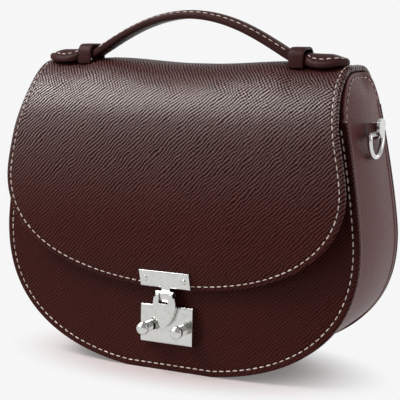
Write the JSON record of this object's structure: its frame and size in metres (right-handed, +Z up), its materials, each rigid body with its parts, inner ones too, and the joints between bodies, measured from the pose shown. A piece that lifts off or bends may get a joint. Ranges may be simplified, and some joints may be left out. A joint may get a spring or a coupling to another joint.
{
  "type": "crossbody bag",
  "caption": "Saddle shaped leather crossbody bag with a flap over the mouth, a twin knob lock, a sliding top handle and swinging side rings.",
  "frame": {"origin": "on the ground under the middle of the bag", "axes": "+X to the right as seen from the front, the front faces -Y, +Z up"},
  "size_m": [0.22, 0.087, 0.201],
  "materials": {
    "grained_leather": "cross grain embossed, satin",
    "gusset_leather": "fine grain, satin",
    "handle_leather": "fine grain with painted edges",
    "lining": "microfibre",
    "board": "bonded fibre board",
    "nickel": "polished nickel"
  },
  "bodies": {
    "root": {"front_panel": "grained_leather", "back_panel": "grained_leather", "gusset": "gusset_leather", "front_lining": "lining", "back_lining": "lining", "gusset_lining": "lining", "base_board": "board", "lock_plate": "nickel", "lock_back_plate": "nickel", "lock_screws": "nickel", "left_ring_post": "nickel", "right_ring_post": "nickel", "ring_screws": "nickel"},
    "flap": {"flap": "grained_leather", "flap_lining": "lining", "left_keeper": "handle_leather", "right_keeper": "handle_leather", "handle_arch": "handle_leather", "hasp_plate": "nickel", "hasp_back_plate": "nickel", "hasp_rivets": "nickel"},
    "hasp": {"hasp": "nickel", "hasp_pin": "nickel"},
    "left_knob": {"left_knob": "nickel", "left_jaw": "nickel"},
    "right_knob": {"right_knob": "nickel", "right_jaw": "nickel"},
    "left_ring": {"left_ring": "nickel"},
    "right_ring": {"right_ring": "nickel"},
    "left_handle_end": {"left_handle_end": "handle_leather"},
    "right_handle_end": {"right_handle_end": "handle_leather"}
  },
  "joints": [
    {"name": "flap_hinge", "type": "hinge", "parent": "root", "child": "flap", "pos_m": [0, 0.03042, 0.15], "axis": [-1, 0, 0], "range_deg": [0, 150]},
    {"name": "hasp_hinge", "type": "hinge", "parent": "flap", "child": "hasp", "pos_m": [0, -0.04063, 0.04539], "axis": [-1, 0, 0], "range_deg": [0, 120]},
    {"name": "left_knob_slide", "type": "slide", "parent": "root", "child": "left_knob", "axis": [1, 0, 0], "range_m": [0, 0.002], "stiffness_N_per_m": 600, "springref_m": -0.002},
    {"name": "right_knob_slide", "type": "slide", "parent": "root", "child": "right_knob", "axis": [-1, 0, 0], "range_m": [0, 0.002], "stiffness_N_per_m": 600, "springref_m": -0.002},
    {"name": "left_ring_hinge", "type": "hinge", "parent": "root", "child": "left_ring", "pos_m": [-0.10656, 0, 0.136], "axis": [0, 1, 0], "range_deg": [-1.5, 140]},
    {"name": "right_ring_hinge", "type": "hinge", "parent": "root", "child": "right_ring", "pos_m": [0.10656, 0, 0.136], "axis": [0, -1, 0], "range_deg": [-1.5, 140]},
    {"name": "right_handle_slide", "type": "slide", "parent": "flap", "child": "right_handle_end", "axis": [1, 0, 0], "range_m": [0, 0.004], "deforming": ["handle_arch"]},
    {"name": "left_handle_slide", "type": "slide", "parent": "flap", "child": "left_handle_end", "axis": [-1, 0, 0], "range_m": [0, 0.004]}
  ],
  "couplings": [
    {"joint": "left_handle_slide", "follows": "right_handle_slide", "ratio": 1}
  ]
}
